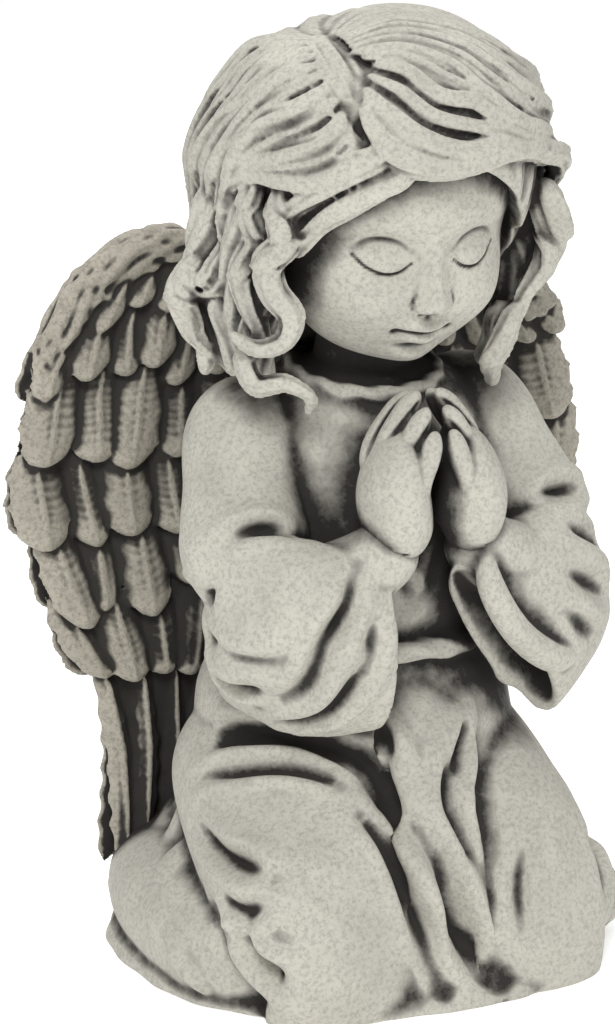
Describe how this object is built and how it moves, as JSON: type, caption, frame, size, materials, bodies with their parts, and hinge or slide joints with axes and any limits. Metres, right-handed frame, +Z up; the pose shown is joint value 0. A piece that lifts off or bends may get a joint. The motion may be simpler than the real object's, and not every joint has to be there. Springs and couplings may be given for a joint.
{
  "type": "cemetery angel statue",
  "caption": "Kneeling child angel in prayer, wings folded behind, in a draped robe with wide sleeves, cast in one with its low oval base.",
  "frame": {"origin": "middle of the base's flat underside", "axes": "+Z up, the figure faces -Y, its left hand is at +X"},
  "size_m": [0.2634, 0.2032, 0.4001],
  "materials": {
    "cast_stone": "matt cast stone with a dark antiquing wash left in the recesses"
  },
  "bodies": {
    "root": {"kneeling_angel": "cast_stone"}
  },
  "joints": []
}
